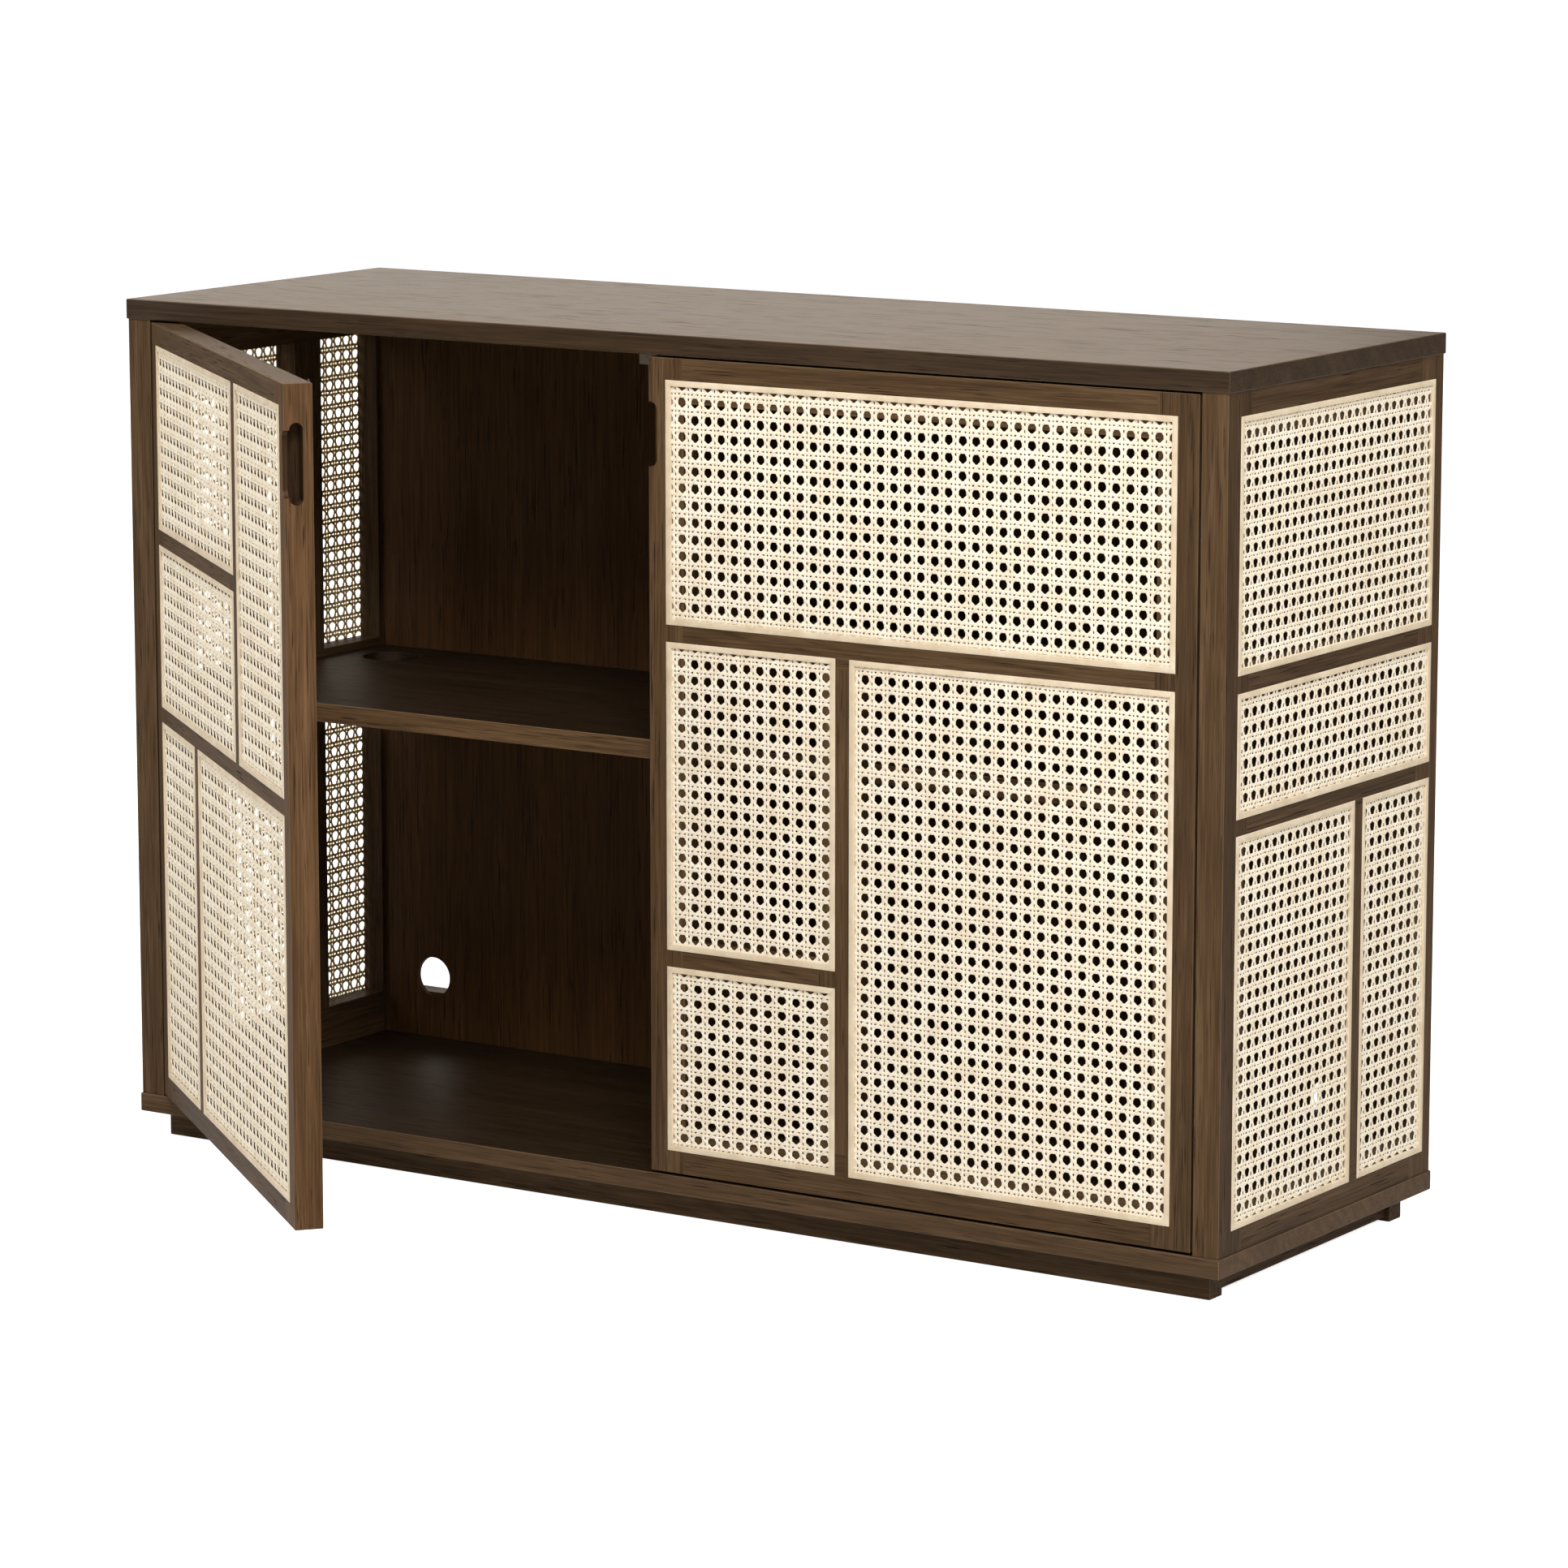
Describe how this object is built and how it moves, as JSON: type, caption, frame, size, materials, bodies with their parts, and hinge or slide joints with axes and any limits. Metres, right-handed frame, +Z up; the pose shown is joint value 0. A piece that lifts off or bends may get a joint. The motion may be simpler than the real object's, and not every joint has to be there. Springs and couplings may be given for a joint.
{
  "type": "sideboard",
  "caption": "Low two-door sideboard with a dark stained timber frame, woven cane panels in doors and sides, inner shelves and a plinth.",
  "frame": {"origin": "on the floor, under the middle of the front plinth plank (mid-width, mid-thickness of the plank)", "axes": "+X to the right seen from the front, +Y from the doors to the back, +Z up"},
  "size_m": [1.2, 0.7605, 0.817],
  "materials": {
    "stained_oak": "satin dark stained oak",
    "oak_veneer": "satin dark stained oak veneer",
    "cane": "natural woven cane",
    "spline": "natural reed spline",
    "hinge_metal": "satin nickel",
    "screw_steel": "satin",
    "fittings_metal": "satin"
  },
  "bodies": {
    "case": {"back_panel": "oak_veneer", "back_plinth": "stained_oak", "back_rail": "stained_oak", "bottom_board": "stained_oak", "centre_partition": "stained_oak", "front_plinth": "stained_oak", "hinge_post_cups": "hinge_metal", "hinge_post_screws": "screw_steel", "left_back_post": "stained_oak", "left_bottom_rail": "stained_oak", "left_front_post": "stained_oak", "left_lower_mullion": "stained_oak", "left_middle_rail": "stained_oak", "left_plinth": "stained_oak", "left_shelf": "stained_oak", "left_side_cane": "cane", "left_side_splines": "spline", "left_top_rail": "stained_oak", "left_upper_mullion": "stained_oak", "magnetic_catch": "fittings_metal", "right_back_post": "stained_oak", "right_bottom_rail": "stained_oak", "right_front_post": "stained_oak", "right_lower_rail": "stained_oak", "right_mullion": "stained_oak", "right_plinth": "stained_oak", "right_shelf": "stained_oak", "right_side_cane": "cane", "right_side_splines": "spline", "right_top_rail": "stained_oak", "right_upper_rail": "stained_oak", "shelf_pins": "fittings_metal", "top_board": "stained_oak"},
    "left_door": {"left_door_bottom_rail": "stained_oak", "left_door_cane": "cane", "left_door_free_stile": "stained_oak", "left_door_hinge_stile": "stained_oak", "left_door_lower_mullion": "stained_oak", "left_door_middle_rail": "stained_oak", "left_door_short_rail": "stained_oak", "left_door_splines": "spline", "left_door_top_rail": "stained_oak", "left_door_upper_mullion": "stained_oak", "left_hinge_cups": "hinge_metal", "left_hinge_screws": "screw_steel", "left_strike": "fittings_metal"},
    "right_door": {"right_door_bottom_rail": "stained_oak", "right_door_cane": "cane", "right_door_cross_rail": "stained_oak", "right_door_free_stile": "stained_oak", "right_door_hinge_stile": "stained_oak", "right_door_mullion": "stained_oak", "right_door_short_rail": "stained_oak", "right_door_splines": "spline", "right_door_top_rail": "stained_oak", "right_hinge_cups": "hinge_metal", "right_hinge_screws": "screw_steel", "right_strike": "fittings_metal"},
    "left_links": {"left_hinge_links": "hinge_metal"},
    "right_links": {"right_hinge_links": "hinge_metal"}
  },
  "joints": [
    {"name": "left_door_swing", "type": "hinge", "parent": "case", "child": "left_door", "pos_m": [-0.57125, -0.031, 0.4205], "axis": [0, 0, -1], "range_deg": [-39.5, 60.5]},
    {"name": "right_door_swing", "type": "hinge", "parent": "case", "child": "right_door", "pos_m": [0.57125, -0.031, 0.4205], "axis": [0, 0, 1], "range_deg": [0, 100]},
    {"name": "left_links_turn", "type": "hinge", "parent": "case", "child": "left_links", "pos_m": [-0.57125, -0.031, 0.4205], "axis": [0, 0, -1], "range_deg": [-19.75, 30.25]},
    {"name": "right_links_turn", "type": "hinge", "parent": "case", "child": "right_links", "pos_m": [0.57125, -0.031, 0.4205], "axis": [0, 0, 1], "range_deg": [0, 50]}
  ],
  "couplings": [
    {"joint": "left_links_turn", "follows": "left_door_swing", "ratio": 0.5},
    {"joint": "right_links_turn", "follows": "right_door_swing", "ratio": 0.5}
  ]
}
